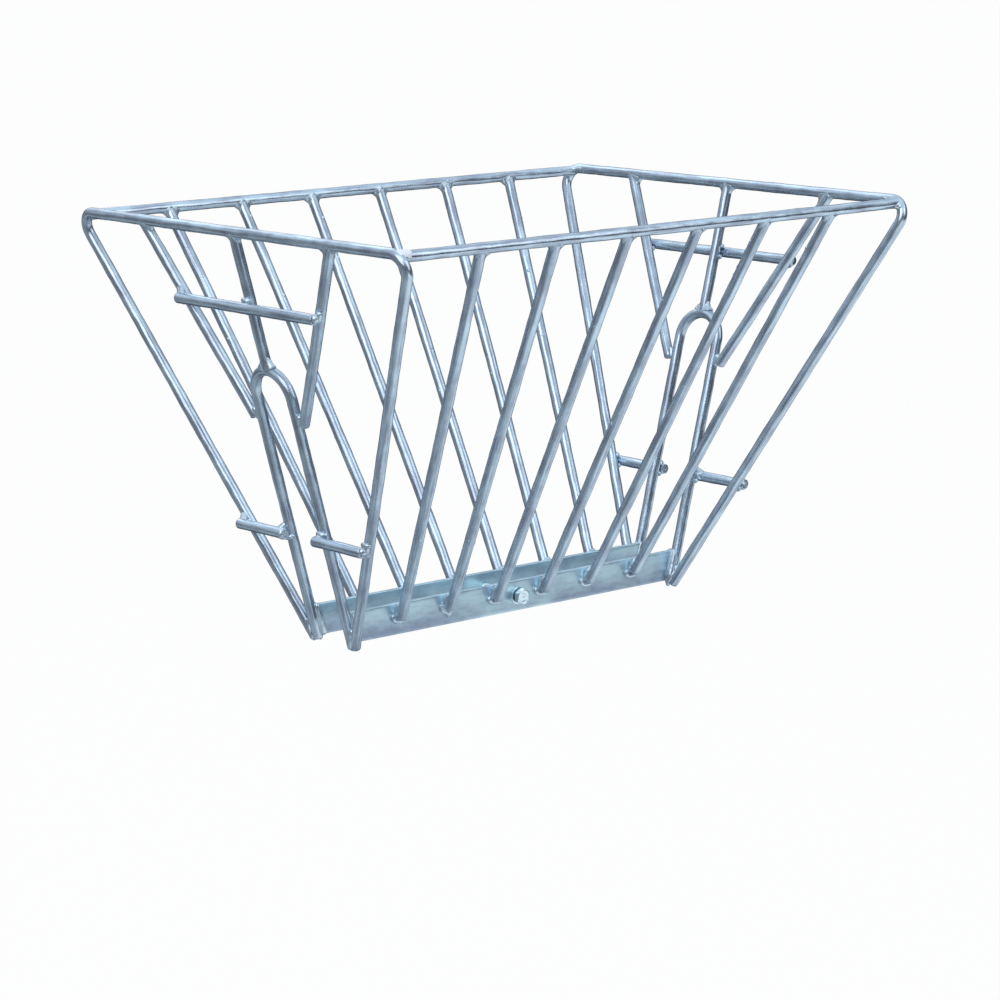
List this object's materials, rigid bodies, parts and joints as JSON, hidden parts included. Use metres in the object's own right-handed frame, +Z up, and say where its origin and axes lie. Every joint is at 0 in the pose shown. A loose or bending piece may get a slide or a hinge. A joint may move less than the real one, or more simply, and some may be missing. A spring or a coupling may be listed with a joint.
{
  "type": "over-fence hay rack",
  "caption": "Welded basket of galvanised round bar that hooks over a fence's top rail, holds hay for livestock on both sides, and is locked by a bolt under the second rail.",
  "frame": {"origin": "on the axis of the fence's top rail that the hooks sit on, half way along the rack", "axes": "+X along the fence, +Z up, -Y towards the side that the picture shows in front"},
  "size_m": [0.734, 0.5784, 0.4702],
  "materials": {
    "galvanised_bar": "hot-dip zinc coat on welded steel bar, satin with bright weld beads",
    "galvanised_plate": "hot-dip zinc coat on flat bar, satin with pale and dark patches",
    "zinc_fastener": "bright zinc-plated steel"
  },
  "bodies": {
    "root": {"centre_bar_left": "galvanised_bar", "centre_bar_right": "galvanised_bar", "cross_bar_left": "galvanised_bar", "cross_bar_right": "galvanised_bar", "end_frame_left": "galvanised_bar", "end_frame_right": "galvanised_bar", "front_bar_1": "galvanised_bar", "front_bar_2": "galvanised_bar", "front_bar_3": "galvanised_bar", "front_bar_4": "galvanised_bar", "front_bar_5": "galvanised_bar", "front_bar_6": "galvanised_bar", "hook_left": "galvanised_bar", "hook_right": "galvanised_bar", "lock_bolt": "zinc_fastener", "lock_nut": "zinc_fastener", "lock_spring_washer": "zinc_fastener", "lock_washer_front": "zinc_fastener", "lock_washer_rear": "zinc_fastener", "lower_strut_left_front": "galvanised_bar", "lower_strut_left_rear": "galvanised_bar", "lower_strut_right_front": "galvanised_bar", "lower_strut_right_rear": "galvanised_bar", "rear_bar_1": "galvanised_bar", "rear_bar_2": "galvanised_bar", "rear_bar_3": "galvanised_bar", "rear_bar_4": "galvanised_bar", "rear_bar_5": "galvanised_bar", "rear_bar_6": "galvanised_bar", "rim_bar_front": "galvanised_bar", "rim_bar_rear": "galvanised_bar", "sill_plate_front": "galvanised_plate", "sill_plate_rear": "galvanised_plate", "slant_bar_left_front": "galvanised_bar", "slant_bar_left_rear": "galvanised_bar", "slant_bar_right_front": "galvanised_bar", "slant_bar_right_rear": "galvanised_bar"}
  },
  "joints": []
}
